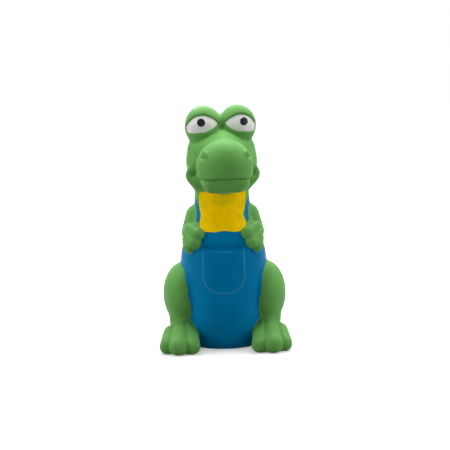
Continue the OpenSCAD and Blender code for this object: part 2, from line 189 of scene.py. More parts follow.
# ---- the toy's forms: balls and eggs are (place, radii), rolls are (place, r, place, r)

STATIONS = (
    # share of the trunk's height, of the belly's half width, of the neck's, front, back
    (0, 0.84, 0, 0.74, 0.66), (0.035, 0.89, 0, 0.81, 0.75), (0.19, 0.92, 0, 0.95, 0.92),
    (0.38, 0.965, 0, 1.02, 0.98), (0.55, 1.02, 0, 1, 0.92), (0.69, 0.92, 0.03, 0.89, 0.82),
    (0.8, 0.55, 0.35, 0.77, 0.72), (0.905, 0.16, 0.78, 0.66, 0.64), (1, 0, 1, 0.59, 0.6),
    (1.1, 0, 1, 0.59, 0.6),
)
HEAD_W, HEAD_H = 49.2, 60   # the head on which the rows below and on_head's places are given
# across, back, up over the neck, radius; a row off the middle counts on both sides
SKULL = ((0, -7, 38, 7), (0, 6, 27, 17), (0, 5, 11, 15), (13, -5, 30.5, 10.2), (13.7, -6.5, 22, 10.8))
SNOUT_SLOPE = ((0, -9.8, 41.3, 4.7), (0, -32, 27, 9), (5.6, -12, 35.5, 7), (13.2, -9.8, 30.5, 8),
               (13, -14, 21, 8.4))
CHEEK = ((18, -12.5, 13.6, 7.5), (14.4, -8, 6.4, 6))
BETWEEN_LOBES = ((7, -4.5, 47.2, 7.6),)
NOSTRIL_R = 3.1
# how far across the overalls reach in front of a leg, from the floor up, on a belly this wide
LEG_EDGE_Z, LEG_EDGE_X, LEG_EDGE_BELLY = (16, 31, 45, 56, 64), (23.4, 24.2, 26.2, 28.4, 31), 58


def between(a, b, c, d, t):
    """A value between b and c of four neighbours, on a smooth curve through them."""
    return b + 0.5 * t * (c - a + t * (2 * a - 5 * b + 4 * c - d + t * (3 * (b - c) + d - a)))


def trunk_rings(s, grow=0.0, steps=3):
    """The trunk's rings from the floor up: height, half width, front and back reach."""
    last = len(STATIONS) - 1
    stations = np.array([STATIONS[min(max(i, 0), last)] for i in range(-1, last + 3)], float)
    rows = [between(*stations[i:i + 4], k / steps) for i in range(last) for k in range(steps)]
    rows.append(stations[last + 1])
    return [(r[0] * s.trunk_h, r[1] * s.belly_w / 2 + r[2] * s.neck_w / 2 + grow,
             r[3] * s.belly_d / 2 + grow, r[4] * s.belly_d / 2 + grow) for r in rows]


def arm_rolls(s):
    """The right arm and its three fingers, which lie on the bib."""
    shoulder = (s.arm_out - 11.2, 1, s.shoulder_z)
    elbow = (s.arm_out - s.arm_r, -3, s.hand_z + 5)
    wrist = (s.arm_out - s.arm_r - 0.2, -11.4, s.hand_z + 5)
    fingers = (
        ((22.2, -12.6, s.hand_z + 8.8), (17, -21.2, s.hand_z + 6.3)),
        ((23.4, -14, s.hand_z + 5), (19.5, -21.6, s.hand_z + 0.5)),
        ((23.9, -13, s.hand_z + 2.4), (23.3, -18.4, s.hand_z - 2.8)),
    )
    return [(shoulder, s.arm_r + 0.4, elbow, s.arm_r), (elbow, s.arm_r, wrist, s.arm_r - 0.8)] + [
        (knuckle, s.finger_r, tip, s.finger_r) for knuckle, tip in fingers]


def hand_web(s):
    """The balls that fill the right hand between its fingers, the palm last."""
    fingers = arm_rolls(s)[2:]
    return [(tip, tip_r - 1) for _, _, tip, tip_r in fingers] + [((20.8, -13, s.hand_z + 3.4), 6.6)]


def foot_web(s):
    """The balls that fill the right foot between its toes and down to the floor, the ankle last."""
    toes = [((tip[0], tip[1] + 1.2, tip_r - 1.3), tip_r - 0.7) for _, _, tip, tip_r in toe_rolls(s)]
    return toes + [((29, -13, 11.4), s.ankle_r - 0.4)]


def toe_rolls(s):
    """The right foot's three toes, the inner one first."""
    rolls = []
    # tip and root across, how far back and how much thinner than the middle toe
    for tip_x, root_x, back, thinner in ((22.6, 25.4, 2.4, 0.6), (32, 30.6, 0, 0),
                                         (39.6, 36.6, 6, 0.9)):
        tip_r = s.toe_r - thinner
        root = (root_x, back / 2 - 19.4, 10)
        rolls.append((root, tip_r + 1, (tip_x, tip_r + back - s.toe_reach, tip_r - 0.6), tip_r))
    return rolls


def leg_roll(s):
    """The right lower leg, from the thigh to the ankle."""
    return (s.thigh_out - 14.5, -5, 22), 11, (s.thigh_out - 14, -6, 13), s.ankle_r


def thigh(s, grow=0.0):
    """The right thigh, an egg."""
    half = np.array((14.5, 20, 22))
    return (s.thigh_out - half[0], 0, 35), half + grow


def tail_rolls(s):
    """The tail, which lies on the floor behind the toy."""
    root, middle, tip = (0, 19, 13), (0, s.tail_reach - 15, 9.4), (0, s.tail_reach - 5.5, 5)
    return [(root, 13.4, middle, 10), (middle, 10, tip, 5.5)]


def on_head(s, x, y, z):
    """A place on the head, given on a head of HEAD_W by HEAD_H."""
    return x * s.head_w / HEAD_W, y, s.trunk_h + z * s.head_h / HEAD_H


def head_balls(s, rows, grow=0.0):
    """The balls of these rows on the head, those on its middle first."""
    middle = [(on_head(s, x, y, z), r + grow) for x, y, z, r in rows if x == 0]
    return middle + [(on_head(s, side * x, y, z), r + grow) for side in SIDES
                     for x, y, z, r in rows if x]


def nostril(s):
    """The right nostril: the middle of its swelling and the two ends of its slit."""
    high = s.mouth_h - 9
    return (on_head(s, 13, -38.2, high + 24.4), on_head(s, 14.4, 0, high + 26.2),
            on_head(s, 15.8, 0, high + 22.8))


def strap_route(s):
    """The right strap, from its rounded end beside the shirt to the back panel."""
    return [(16.8, -13.6, s.bib_z + 8), (17.3, -9.5, 0.915 * s.trunk_h),
            (s.neck_w / 2, -2, 0.955 * s.trunk_h), (s.neck_w / 2 - 1, 7, 0.955 * s.trunk_h),
            (13.4, 14.5, 0.905 * s.trunk_h), (10.5, 20, 0.81 * s.trunk_h),
            (9.5, 23.5, s.back_z - 4)]


# ---- distances from points to those forms, for creases and paint

def smooth(low, high, x):
    """0 at low, 1 at high, smooth between; low may be the greater."""
    t = np.clip((x - low) / (high - low), 0, 1)
    return t * t * (3 - 2 * t)


def bump(x, width):
    """1 at x = 0, falling smoothly to 0 over width or so."""
    return np.exp(-(x / width) ** 2)


def mirrored(points):
    """The points moved to the right side, where the forms are given."""
    return points * np.where(points[:, :1] < 0, (-1, 1, 1), (1, 1, 1))


def from_roll(points, one):
    """Distance from a roll's surface, negative inside it."""
    a, ra, b, rb = one
    a = np.array(a, float)
    along = np.array(b, float) - a
    t = np.clip((points - a) @ along / (along @ along), 0, 1)
    return np.linalg.norm(points - a - t[:, None] * along, axis=1) - ra - t * (rb - ra)


def from_egg(points, middle, radii):
    """About the distance from an egg's surface, negative inside it."""
    q = (points - np.array(middle, float)) / radii
    near = np.linalg.norm(q, axis=1)
    return near * (near - 1) / np.maximum(np.linalg.norm(q / radii, axis=1), 1e-9)


def from_nearest(points, rolls):
    """Distance from the nearest of these rolls."""
    return np.min([from_roll(points, one) for one in rolls], axis=0)


def from_route(points, route):
    """Distance from a smooth curve through the places of a route."""
    ends = np.array([route[0], *route, route[-1]], float)
    curve = [between(*ends[i:i + 4], t) for i in range(len(route) - 1) for t in (0, 0.25, 0.5, 0.75)]
    curve.append(ends[-1])
    return from_nearest(points, [(a, 0, b, 0) for a, b in zip(curve, curve[1:])])


def wave(points, pitch, seed):
    """A slow wobble between -1 and 1, as a hand gives to a brushed edge."""
    x, y, z = points.T / pitch
    return (np.sin(2.1 * x + 1.3 * z + seed) + np.sin(1.7 * z - 2.3 * x + 2.2 * seed)
            + np.sin(3.1 * x + 2.9 * z - 1.1 * y + 3.7 * seed)) / 3


def eye_field(points, s, grow=0.0):
    """How far inside the opening between the right eye's lids a point lies, from in front."""
    half = s.eye_open_w / 2
    x = (points[:, 0] - s.eye_at[0] - 1) / half
    z = points[:, 2] - s.eye_z - 2
    middle = 0.4 - 0.28 * s.eye_open_h * np.clip(x, 0, 1.2) ** 2
    reach = 0.48 * s.eye_open_h * np.where(x < 0, 1 - np.abs(x) ** 1.7,
                                           1 - 0.2 * x ** 2 - 0.4 * x ** 4)
    lids = (reach - np.abs(z - middle)) * np.where(x < 0, 0.8, 0.85)
    corner = (1.07 - x) * half
    blunt = 0.8   # how softly the outer corner joins the lids
    both = sum(np.exp(-np.clip(one, -20, 20) / blunt) for one in (lids, corner))
    return 0.25 + grow - blunt * np.log(both)


def pocket_field(points, s):
    """How far inside the pocket's outline a point lies, from in front."""
    half, low, top = s.pocket_w / 2, s.pocket_z - s.pocket_h, s.pocket_z
    corner = half - 2.5
    x, z = np.abs(points[:, 0]), points[:, 2]
    round_z = low + corner
    side = half - x
    below = corner - np.hypot(np.maximum(x - half + corner, 0), np.minimum(z - round_z, 0))
    dip = 2.6 * (1 - np.clip(x / half, 0, 1) ** 2)
    return np.where(z < round_z, np.minimum(side, below), np.minimum(side, top - dip - z))


def limb_gap(points, s):
    """Distance from the arms, legs and tail, which the overalls leave bare."""
    p = mirrored(points)
    rolls = arm_rolls(s) + toe_rolls(s) + tail_rolls(s)
    for web in (hand_web(s), foot_web(s)):
        rolls += [a + b for i, a in enumerate(web) for b in web[i + 1:]]
    leg = np.minimum(from_egg(p, *thigh(s)), from_roll(p, leg_roll(s)))
    inner = np.interp(p[:, 2], LEG_EDGE_Z, LEG_EDGE_X) * s.belly_w / LEG_EDGE_BELLY - p[:, 0]
    leg = np.where(p[:, 1] < -3, np.maximum(leg, inner), leg)
    return np.minimum(from_nearest(p, rolls), leg)


# ---- modelling tools: one unit is a millimetre until finish_piece

def pick(*objs):
    """Selects these objects alone, in object mode, the first one active."""
    if bpy.context.object and bpy.context.object.mode != "OBJECT":
        bpy.ops.object.mode_set(mode="OBJECT")
    bpy.ops.object.select_all(action="DESELECT")
    for obj in objs:
        obj.select_set(True)
    bpy.context.view_layer.objects.active = objs[0]
    return objs[0]


def points_of(obj):
    co = np.empty(len(obj.data.vertices) * 3)
    obj.data.vertices.foreach_get("co", co)
    return co.reshape(-1, 3)


def normals_of(obj):
    out = np.empty(len(obj.data.vertices) * 3)
    obj.data.vertices.foreach_get("normal", out)
    return out.reshape(-1, 3)


def centres_of(obj):
    out = np.empty(len(obj.data.polygons) * 3)
    obj.data.polygons.foreach_get("center", out)
    return out.reshape(-1, 3)


def move_points(obj, co):
    obj.data.vertices.foreach_set("co", np.ascontiguousarray(co, float).ravel())
    obj.data.update()


def mark_points(obj, name, values):
    """Writes one number at each point, for a material to read by this name."""
    marks = obj.data.attributes.new(name, "FLOAT", "POINT")
    marks.data.foreach_set("value", values.astype(np.float32))


def choose_faces(obj, chosen):
    """Leaves obj in edit mode with the chosen faces selected."""
    pick(obj)
    bpy.ops.object.mode_set(mode="EDIT")
    bpy.ops.mesh.select_mode(type="FACE")
    bpy.ops.mesh.select_all(action="DESELECT")
    bpy.ops.object.mode_set(mode="OBJECT")
    obj.data.polygons.foreach_set("select", np.asarray(chosen, bool))
    bpy.ops.object.mode_set(mode="EDIT")


def place(obj, turn=Matrix(), at=(0, 0, 0)):
    """Turns and moves a mesh and applies it."""
    pick(obj)
    obj.matrix_world = Matrix.Translation(at) @ turn.to_4x4()
    bpy.ops.object.transform_apply(location=True, rotation=True, scale=True)
    return obj


def ball(at, radii, around=32):
    """A ball with one radius, or an egg with three."""
    bpy.ops.mesh.primitive_uv_sphere_add(segments=around, ring_count=around * 5 // 8, radius=1)
    bpy.ops.transform.resize(value=tuple(np.broadcast_to(np.asarray(radii, float), 3)))
    bpy.ops.object.transform_apply(location=False, rotation=False, scale=True)
    return place(bpy.context.object, at=at)


def roll(a, ra, b, rb):
    """A tapered roll with round ends: a ball, half of which is drawn out and resized."""
    a, b = Vector(a), Vector(b)
    along = b - a
    obj = ball((0, 0, 0), ra, 24)
    choose_faces(obj, centres_of(obj)[:, 2] > 0)
    bpy.ops.mesh.extrude_region_move(TRANSFORM_OT_translate={"value": (0, 0, along.length)})
    bpy.ops.transform.resize(value=(rb / ra,) * 3, center_override=(0, 0, along.length))
    bpy.ops.object.mode_set(mode="OBJECT")
    return place(obj, along.to_track_quat("Z", "Y").to_matrix(), a)


def joined(objs):
    """All the objects as one, their meshes still apart inside it."""
    obj = pick(*objs)
    if len(objs) > 1:
        bpy.ops.object.join()
    return obj


def hull(*balls):
    """The tight skin round balls."""
    obj = joined([ball(at, r, 24) for at, r in balls])
    bpy.ops.object.mode_set(mode="EDIT")
    bpy.ops.mesh.select_all(action="SELECT")
    bpy.ops.mesh.convex_hull()
    bpy.ops.object.mode_set(mode="OBJECT")
    return obj


def ringed(rings, around=48):
    """A closed form drawn up ring by ring from a disc: rings give height, half width, front, back."""
    bpy.ops.mesh.primitive_circle_add(vertices=around, radius=1, fill_type="NGON")
    obj = bpy.context.object
    bpy.ops.object.mode_set(mode="EDIT")
    bpy.ops.mesh.select_all(action="SELECT")
    for low, high in zip(rings, rings[1:]):
        bpy.ops.mesh.extrude_region_move(TRANSFORM_OT_translate={"value": (0, 0, high[0] - low[0])})
    bpy.ops.mesh.select_all(action="SELECT")
    bpy.ops.mesh.normals_make_consistent(inside=False)
    bpy.ops.object.mode_set(mode="OBJECT")
    co = points_of(obj)
    rows = np.array(rings)
    row = rows[np.abs(co[:, 2:3] + rows[0, 0] - rows[None, :, 0]).argmin(axis=1)]
    co[:, 0] *= row[:, 1]
    co[:, 1] *= np.where(co[:, 1] < 0, row[:, 2], row[:, 3])
    co[:, 2] = row[:, 0]
    move_points(obj, co)
    return obj


def modify(obj, kind, **settings):
    """Adds one modifier with its settings and applies it."""
    pick(obj)
    bpy.ops.object.modifier_add(type=kind)
    modifier = obj.modifiers[-1]
    for key, value in settings.items():
        setattr(modifier, key, value)
    bpy.ops.object.modifier_apply(modifier=modifier.name)
    return obj


def grown_together(obj, voxel, softened):
    """One closed surface over all the forms in obj, its corners softened."""
    modify(obj, "REMESH", mode="VOXEL", voxel_size=voxel, adaptivity=0)
    return modify(obj, "SMOOTH", factor=0.5, iterations=softened)


def cut_along(obj, field):
    """Cuts the mesh along the zero level of a value at each point; the side below zero goes."""
    values = field(points_of(obj))
    mesh = bmesh.new()
    mesh.from_mesh(obj.data)
    bmesh.ops.triangulate(mesh, faces=mesh.faces[:])
    level = mesh.verts.layers.float.new("level")
    for vert, value in zip(mesh.verts, values):
        vert[level] = value if abs(value) > 1e-4 else 1e-4
    crossed = [e for e in mesh.edges if e.verts[0][level] * e.verts[1][level] < 0]
    fresh = []
    for edge in crossed:
        low, high = edge.verts
        share = low[level] / (low[level] - high[level])
        vert = bmesh.utils.edge_split(edge, low, min(max(share, 0.02), 0.98))[1]
        vert[level] = 0
        fresh.append(vert)
    bmesh.ops.connect_verts(mesh, verts=fresh)
    out = [face for face in mesh.faces if min(vert[level] for vert in face.verts) < 0]
    bmesh.ops.delete(mesh, geom=out, context="FACES")
    mesh.verts.layers.float.remove(level)
    mesh.to_mesh(obj.data)
    mesh.free()
    return obj


def copy_of(obj, name):
    """A copy with a mesh of its own."""
    pick(obj)
    bpy.ops.object.duplicate()
    bpy.context.object.name = name
    return bpy.context.object


def subtract(obj, cutter):
    """Cuts one closed form out of another and removes it; a cut that does nothing is an error."""
    before = len(obj.data.polygons)
    modify(obj, "BOOLEAN", operation="DIFFERENCE", object=cutter, solver="MANIFOLD")
    if len(obj.data.polygons) == before:
        raise RuntimeError(f"{obj.name}: {cutter.name} cut nothing out")
    obj.data.materials.clear()   # the cutter leaves an empty slot
    pick(cutter)
    bpy.ops.object.delete()
    return obj


def cut_floor(obj, z):
    """Takes away all of a closed form below this height."""
    size = 300
    bpy.ops.mesh.primitive_cube_add(size=size)
    return subtract(obj, place(bpy.context.object, at=(0, 0, z - size / 2)))


def post(d, low, high):
    """A round cutter on the toy's axis."""
    bpy.ops.mesh.primitive_cylinder_add(vertices=96, radius=d / 2, depth=high - low)
    return place(bpy.context.object, at=(0, 0, (low + high) / 2))


def turn_head(obj):
    """Twists a piece about the toy's axis above the neck, where the head looks a little aside."""
    s = sizes()
    co = points_of(obj)
    turn = s.head_turn * smooth(s.trunk_h - 9, s.trunk_h + 9, co[:, 2])
    x, y = co[:, 0].copy(), co[:, 1].copy()
    co[:, 0] = x * np.cos(turn) - y * np.sin(turn)
    co[:, 1] = x * np.sin(turn) + y * np.cos(turn)
    move_points(obj, co)


def finish_piece(obj, name, node, material):
    """Brings a piece from millimetres to metres, smooth and named, on the toy's body."""
    turn_head(obj)
    pick(obj)
    bpy.ops.transform.resize(value=(MM,) * 3, center_override=(0, 0, 0))
    bpy.ops.object.transform_apply(location=True, rotation=True, scale=True)
    bpy.ops.object.shade_smooth_by_angle(angle=math.radians(50))
    obj.name = obj.data.name = name
    obj.data.materials.append(material)
    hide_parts(node)
    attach(obj, TOY)
    return obj


# ---- the moulded skin

def core(s):
    """Trunk, skull, cheeks and the slope down to the snout, which flow into one another."""
    rings = trunk_rings(s)
    forms = [ringed([(-UNDER_FLOOR, *rings[0][1:]), *rings]),
             hull(*head_balls(s, SKULL)), hull(*head_balls(s, SNOUT_SLOPE))]
    for side in SIDES:
        forms.append(hull(*((on_head(s, side * x, y, z), r) for x, y, z, r in CHEEK)))
    return grown_together(joined(forms), voxel=1.2, softened=9)


def opposite(one):
    """A right roll's mirror image on the left."""
    (ax, ay, az), ra, (bx, by, bz), rb = one
    return (-ax, ay, az), ra, (-bx, by, bz), rb


def limbs(s):
    """Arms, fingers, legs, toes and tail."""
    right = [*arm_rolls(s), leg_roll(s), *toe_rolls(s)]
    forms = [roll(*r) for one in right for r in (one, opposite(one))]
    forms += [roll(*r) for r in tail_rolls(s)]
    at, radii = thigh(s)
    for side in SIDES:
        forms.append(ball((side * at[0], at[1], at[2]), radii))
        for web in (hand_web(s), foot_web(s)):
            forms.append(hull(*(((side * x, y, z), r) for (x, y, z), r in web)))
    return forms


def face_forms(s):
    """Muzzle, jaw, eye lobes and nostril swellings."""
    jaw_y, jaw_z, jaw_r = 11.2 - s.snout_reach, s.mouth_h - 1.6, 8
    jaw = ((0, jaw_y + 0.6, jaw_z - 0.3, jaw_r), (8.3, jaw_y, jaw_z, jaw_r), (7.4, -12, jaw_z, jaw_r))
    forms = [ball(s.muzzle_at, s.muzzle, 48), hull(*head_balls(s, jaw)),
             hull(*head_balls(s, BETWEEN_LOBES))]
    swelling = nostril(s)[0]
    for side in SIDES:
        forms.append(ball((side * s.eye_at[0], s.eye_at[1], s.eye_at[2]),
                          (s.eye_r, s.eye_r, s.lobe_h), 48))
        forms.append(ball((side * swelling[0], swelling[1], swelling[2]), NOSTRIL_R))
    return forms


def crease_depth(p, s):
    """1 in the creases between neighbouring fingers and toes, 0 on their backs."""
    depth = np.zeros(len(p))
    for rolls in (arm_rolls(s)[2:], [leg_roll(s), *toe_rolls(s)]):
        gaps = np.sort([from_roll(p, one) for one in rolls], axis=0)
        depth = np.maximum(depth, bump(gaps[1] - gaps[0], 1.1) * smooth(4, 1.5, gaps[0]))
    return depth


def fold_under_eye(p, s):
    """1 in the fold where the eye lobes stand over the snout, beside the lobes."""
    beside = from_egg(p, s.eye_at, (s.eye_r, s.eye_r, s.lobe_h)) - 1
    return bump(beside, 0.9) * smooth(s.eye_z + 3, s.eye_z - 1, p[:, 2]) * smooth(-3, -7, p[:, 1])


def from_slit(p, s):
    """Distance from the right nostril's slit, from in front."""
    _, top, bottom = nostril(s)
    return from_roll(p * (1, 0, 1), (top, 0, bottom, 0))


def near_face_lines(p, s):
    """Whether points lie by the lids, the mouth or a nostril, which need the finest mesh."""
    x, y, z = p.T
    on_lobe = (y < s.eye_at[1] + 4) & (np.linalg.norm(p - s.eye_at, axis=1) < s.eye_r + 2)
    lid = (np.abs(eye_field(p, s)) < 1.6) & on_lobe
    mouth = (np.abs(z - s.mouth_z) < 2.2) & (y < -13) & (x < 22)
    slit = (from_slit(p, s) < 2.6) & (y < -20)
    return lid | mouth | slit


def near_creases(p, s):
    """Whether points lie by the pocket's edge, a crease or the fold under an eye."""
    pocket = (np.abs(pocket_field(p, s)) < 2.2) & (p[:, 1] < -15)
    return pocket | (crease_depth(p, s) > 0.2) | (fold_under_eye(p, s) > 0.2)


def refine(obj, near, s, cuts):
    """Splits the faces whose centres lie near a feature, on both sides."""
    choose_faces(obj, near(mirrored(centres_of(obj)), s))
    bpy.ops.mesh.subdivide(number_cuts=cuts)
    bpy.ops.object.mode_set(mode="OBJECT")


def face_push(p, facing, s):
    """How far the face is drawn out, or pressed in if negative, by its lines and hollows."""
    cheek = bump(np.linalg.norm(p - (21, -18, s.mouth_z + 2), axis=1), 4.4)
    brow = bump(p[:, 0], 1.5) * smooth(s.eye_z - 6, s.eye_z - 1, p[:, 2])
    on_muzzle = smooth(3, 1.5, from_egg(p, s.muzzle_at, s.muzzle)) * smooth(-15, -20, p[:, 1])
    below = s.mouth_z - p[:, 2]
    mouth = 1.5 * bump(below, 0.6) + 0.5 * smooth(-0.3, 0.6, below) * smooth(9, 2, below)
    lip = 0.2 * bump(below + 1.6, 1.1)
    slit = 1.4 * bump(from_slit(p, s), 0.8) * smooth(-33.5, -36, p[:, 1])
    return (on_muzzle * (lip - mouth - slit) - 5.2 * cheek * smooth(0.15, 0.6, facing)
            - 0.7 * brow - fold_under_eye(p, s))


def pocket_push(p, s):
    """How far the pocket stands out, and where its ridge is scuffed and carries a painted highlight,
    from 0 to 1.
    """
    inside = pocket_field(p, s)
    front = smooth(-12, -18, p[:, 1])
    over = p[:, 2] - s.pocket_z
    across = smooth(s.pocket_w / 2 + 2, s.pocket_w / 2 - 3, p[:, 0])
    ridge = bump(inside - 0.2, 0.55)
    sag = across * bump(over + 0.4, 2.5) * smooth(0.2, -0.6, inside)
    push = front * (0.55 * smooth(-0.4, 0.3, inside) + 0.28 * ridge - 1.9 * sag)
    # the second value marks the ridge on the pocket's sides and bottom: scuffed paint and a painted
    # highlight
    return push, front * ridge * (over < -2.5)


def press_lids(p, s):
    """A thick rim round the right eye's opening, and the opening pressed back to the eyeball."""
    out = p - s.eye_at
    radius = np.linalg.norm(out, axis=1)
    inside = eye_field(p, s)
    mine = smooth(4, 2, np.abs(radius - s.eye_r)) * smooth(-0.5, -2.5, p[:, 1] - s.eye_at[1])
    rim = radius + 0.12 * bump(inside + 1.3, 1.4) * mine
    eyeball = s.eye_r - EYEBALL_IN
    moved = rim + (eyeball - rim) * smooth(-0.35, 0.35, inside) * mine
    return s.eye_at + out * (moved / np.maximum(radius, 1e-6))[:, None]


def carve(obj, s):
    """Presses lids, mouth, nostrils, pocket and creases into the skin."""
    refine(obj, near_face_lines, s, 2)
    refine(obj, near_creases, s, 1)
    points, normals = points_of(obj), normals_of(obj)
    p = mirrored(points)
    pocket, ridge_scuff_and_highlight = pocket_push(p, s)
    push = pocket + face_push(p, -normals[:, 1], s) - 0.6 * crease_depth(p, s)
    points += normals * push[:, None]
    right = press_lids(mirrored(points), s)
    move_points(obj, right * np.where(points[:, :1] < 0, (-1, 1, 1), (1, 1, 1)))
    # the pocket ridge's mark: scuffed paint and a painted highlight, which the blue paint makes
    # lighter
    mark_points(obj, "ridge_scuff_and_highlight", ridge_scuff_and_highlight)


def model_skin(s):
    """The outside of the moulding, closed, its feet and underside still reaching below the floor."""
    outside = joined([core(s)] + limbs(s) + face_forms(s))
    outside.name = "Latex_skin"
    grown_together(outside, voxel=1.0, softened=4)
    carve(outside, s)
    return outside


def model_hollow(s, inset, voxel):
    """The space inside the moulding, this far in from its outside, standing on the cavity floor."""
    forms = [ringed(trunk_rings(s, -inset)), hull(*head_balls(s, SKULL, -inset)),
             ball(s.muzzle_at + (0, 3, 0), s.muzzle - inset - 1.4, 24)]
    at, radii = thigh(s, -inset - 0.8)
    for side in SIDES:
        forms.append(ball((side * at[0], at[1], at[2]), radii, 24))
    hollow = grown_together(joined(forms), voxel, softened=4)
    return cut_floor(hollow, CAVITY_FLOOR + inset - s.wall)


class ModelSkin(bpy.types.Operator):
    """Model the hollow latex moulding and the coats of paint on it"""
    bl_idname = "latex_toy.skin"
    bl_label = "Skin and paint"

    def execute(self, context):
        s = sizes()
        skin = model_skin(s)
        coats = (("Overalls_coat", overalls_field, "paint_blue", blue_paint()),
                 ("Shirt_coat", shirt_field, "paint_yellow", yellow_paint()))
        for name, field, slot, paint in coats:
            coat = cut_along(copy_of(skin, name), lambda p: field(p, s))
            move_points(coat, points_of(coat) + normals_of(coat) * s.coat_t)
            modify(coat, "SOLIDIFY", thickness=s.coat_t + COAT_SUNK, offset=-1)
            # painted shade under the chin, and spots where the paint is laid on thinly
            mark_points(coat, "thin", thin_spots(points_of(coat), s))
            finish_piece(coat, name, name.lower(), paint)
        cut_floor(skin, 0)
        subtract(skin, model_hollow(s, s.wall, voxel=2.2))
        subtract(skin, post(STUFFING_HOLE, 0.5, CAVITY_FLOOR + 1))
        subtract(skin, post(PATCH_RECESS, -1, PATCH_T))
        finish_piece(skin, "Latex_skin", "skin", latex())
        return {"FINISHED"}


# ---- paint edges

def trunk_turn(p):
    """How far round from the front a point lies: 0 in front, 1 at the side, 2 at the back."""
    return np.arctan2(np.abs(p[:, 0]), -p[:, 1]) / (math.pi / 2)


def bib_wobble(points):
    """How far the bib's upper edge strays from level: by the brush, and by its rise in the middle."""
    return 0.35 * wave(points, 5.5, 1), 0.5 * bump(points[:, 0], 9)


def overalls_field(points, s):
    """How far inside the overalls' edge a point lies: trunk panels and the two straps."""
    turn = trunk_turn(points)
    side_z = s.bib_z - 13
    top = (side_z + (s.bib_z - side_z) * smooth(0.75, 0.5, turn)
           + (s.back_z - side_z) * smooth(1.3, 1.6, turn))
    brushed, middle = bib_wobble(points)
    top += brushed + middle * (turn < 0.5)
    top = np.minimum(top - points[:, 2], points[:, 2] - 0.25)
    panel = np.minimum(top, limb_gap(points, s) - 0.75 + 0.3 * wave(points, 4, 2))
    strap = 2 + 0.3 * wave(points, 4.5, 3) - from_route(mirrored(points), strap_route(s))
    return np.maximum(panel, np.minimum(strap, from_nearest(mirrored(points), arm_rolls(s)) - 0.6))


def shirt_field(points, s):
    """How far inside the shirt's edge a point lies."""
    z = points[:, 2]
    half = s.neck_w / 2 - 3.1 - 1.5 * bump(z - s.bib_z - 11, 3.4) + 0.3 * wave(points, 4, 5)
    top = s.trunk_h + 2 + 0.25 * wave(points, 4, 6) - z
    brushed, middle = bib_wobble(points)
    low = z - s.bib_z - 0.15 - middle - brushed
    arm = from_nearest(mirrored(points), arm_rolls(s)) - 0.5
    return np.min([half - np.abs(points[:, 0]), top, low, arm, -4 - points[:, 1]], axis=0)


def thin_spots(points, s):
    """Where a coat is laid on thinly and the green shows through, and a band of painted shade under
    the chin, from 0 to 1.
    """
    x, z = points[:, 0], points[:, 2]
    # a band of painted shade across the top of the shirt, where the chin shades it
    chin_shade_band = 0.6 * bump(z - s.trunk_h + 5, 1.5) * bump(x + 0.5, 7)
    # a spot where the paint is laid on thinly
    dot = 0.7 * bump(z - s.bib_z - 10.5, 0.9) * bump(x - 11, 0.9)
    return np.maximum(chin_shade_band, dot)


# ---- eyes, wadding

def eye_shell(s, side, radius, thickness, field):
    """A thin cap on an eyeball, cut out where the field, given for the right eye, says."""
    cap = ball((0, 0, 0), radius, 128)
    choose_faces(cap, centres_of(cap)[:, 1] > 0)
    bpy.ops.mesh.delete(type="FACE")
    bpy.ops.object.mode_set(mode="OBJECT")
    place(cap, at=s.eye_at)
    cut_along(cap, field)
    if side < 0:
        move_points(cap, points_of(cap) * (-1, 1, 1))
        pick(cap)
        bpy.ops.object.mode_set(mode="EDIT")
        bpy.ops.mesh.select_all(action="SELECT")
        bpy.ops.mesh.flip_normals()
        bpy.ops.object.mode_set(mode="OBJECT")
    return modify(cap, "SOLIDIFY", thickness=thickness, offset=-1)


class ModelEyes(bpy.types.Operator):
    """Model the painted whites and pupils of the eyes"""
    bl_idname = "latex_toy.eyes"
    bl_label = "Eyes"

    def execute(self, context):
        s = sizes()
        white, black = eye_white(), pupil_black()
        for side, word in zip(SIDES, ("left", "right")):
            gaze = s.eye_at[[0, 2]] + (2.9 + 0.6 * side, 3.1)   # high, and apart
            shell = eye_shell(s, side, s.eye_r - WHITE_IN, WHITE_T,
                              lambda p: eye_field(p, s, 0.1) + 0.12 * wave(p, 3, 7 + side))
            finish_piece(shell, f"Eye_white_{word}", f"eye_white_{word}", white)
            dot = eye_shell(s, side, s.eye_r - PUPIL_IN, PUPIL_T,
                            lambda p: (s.pupil_d / 2 + 0.06 * wave(p, 1.6, 4 + side)
                                       - np.hypot(p[:, 0] - gaze[0], p[:, 2] - gaze[1])))
            finish_piece(dot, f"Pupil_{word}", f"pupil_{word}", black)
        return {"FINISHED"}


class ModelWadding(bpy.types.Operator):
    """Model the loose fibre packed round the squeaker"""
    bl_idname = "latex_toy.wadding"
    bl_label = "Wadding"

    def execute(self, context):
        s = sizes()
        wadding = model_hollow(s, s.wall + 0.9, voxel=1.8)
        p, n = points_of(wadding), normals_of(wadding)
        lumps = 0.3 * wave(p, 6, 1) + 0.25 * wave(p[:, [1, 2, 0]], 2.6, 4) - 0.1
        lumps *= smooth(0.2, 2, p[:, 2] - p[:, 2].min())
        move_points(wadding, p + n * lumps[:, None])
        crown, neck = np.array(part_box("bulb_crown")) / MM, np.array(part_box("bulb_neck")) / MM
        clear = 0.3
        width = crown[1][0] - crown[0][0]
        subtract(wadding, post(width + 2 * clear, neck[0][2] - 4, crown[1][2] + clear))
        finish_piece(wadding, "Wadding", "filling", fibre())
        return {"FINISHED"}


# ---- finishes

class Value:
    """A number or colour at each point of a surface; sums on it add the nodes that work them out."""

    def __init__(self, nodes, socket):
        self.nodes, self.socket = nodes, socket

    def maths(self, operation, a, b):
        return self.nodes.node("Math", {"operation": operation}, {0: a, 1: b})

    def __add__(self, other):
        return self.maths("ADD", self, other)

    def __sub__(self, other):
        return self.maths("SUBTRACT", self, other)

    def __rsub__(self, other):
        return self.maths("SUBTRACT", other, self)

    def __mul__(self, other):
        return self.maths("MULTIPLY", self, other)

    __radd__, __rmul__ = __add__, __mul__


